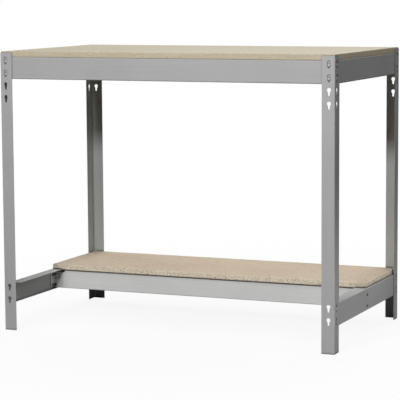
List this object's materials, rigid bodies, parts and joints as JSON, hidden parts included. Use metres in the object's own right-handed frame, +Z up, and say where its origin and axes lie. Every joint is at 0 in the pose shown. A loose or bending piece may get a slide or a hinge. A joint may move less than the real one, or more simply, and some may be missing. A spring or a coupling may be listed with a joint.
{
  "type": "workbench",
  "caption": "Boltless steel workbench frame with a full wooden top board and a half-depth lower shelf at the back.",
  "frame": {"origin": "middle of the footprint, on the floor", "axes": "+X to the right along the width, -Y towards the front, +Z up"},
  "size_m": [1.0594, 0.6144, 0.844],
  "materials": {
    "painted_steel": "grey powder coat, satin",
    "light_steel": "light grey powder coat, satin",
    "rivet": "grey painted steel rivet, satin",
    "zinc": "dull zinc plating",
    "smooth_board": "sanded particle board, pale",
    "raw_chipboard": "raw chipboard with coarse flecked edges"
  },
  "bodies": {
    "root": {"post_front_left": "painted_steel", "post_front_right": "painted_steel", "post_back_left": "painted_steel", "post_back_right": "painted_steel", "top_front_beam": "painted_steel", "top_back_beam": "painted_steel", "top_left_beam": "painted_steel", "top_right_beam": "painted_steel", "lower_back_beam": "painted_steel", "lower_left_beam": "painted_steel", "lower_right_beam": "painted_steel", "lower_tie_beam": "light_steel", "top_front_beam_rivets": "rivet", "top_back_beam_rivets": "rivet", "top_left_beam_rivets": "rivet", "top_right_beam_rivets": "rivet", "lower_back_beam_rivets": "rivet", "lower_left_beam_rivets": "rivet", "lower_right_beam_rivets": "rivet", "tie_bracket_left": "light_steel", "tie_bracket_right": "light_steel", "bracket_screws_left": "zinc", "bracket_screws_right": "zinc", "bracket_nuts_left": "zinc", "bracket_nuts_right": "zinc", "top_board": "smooth_board", "lower_board": "raw_chipboard"}
  },
  "joints": []
}
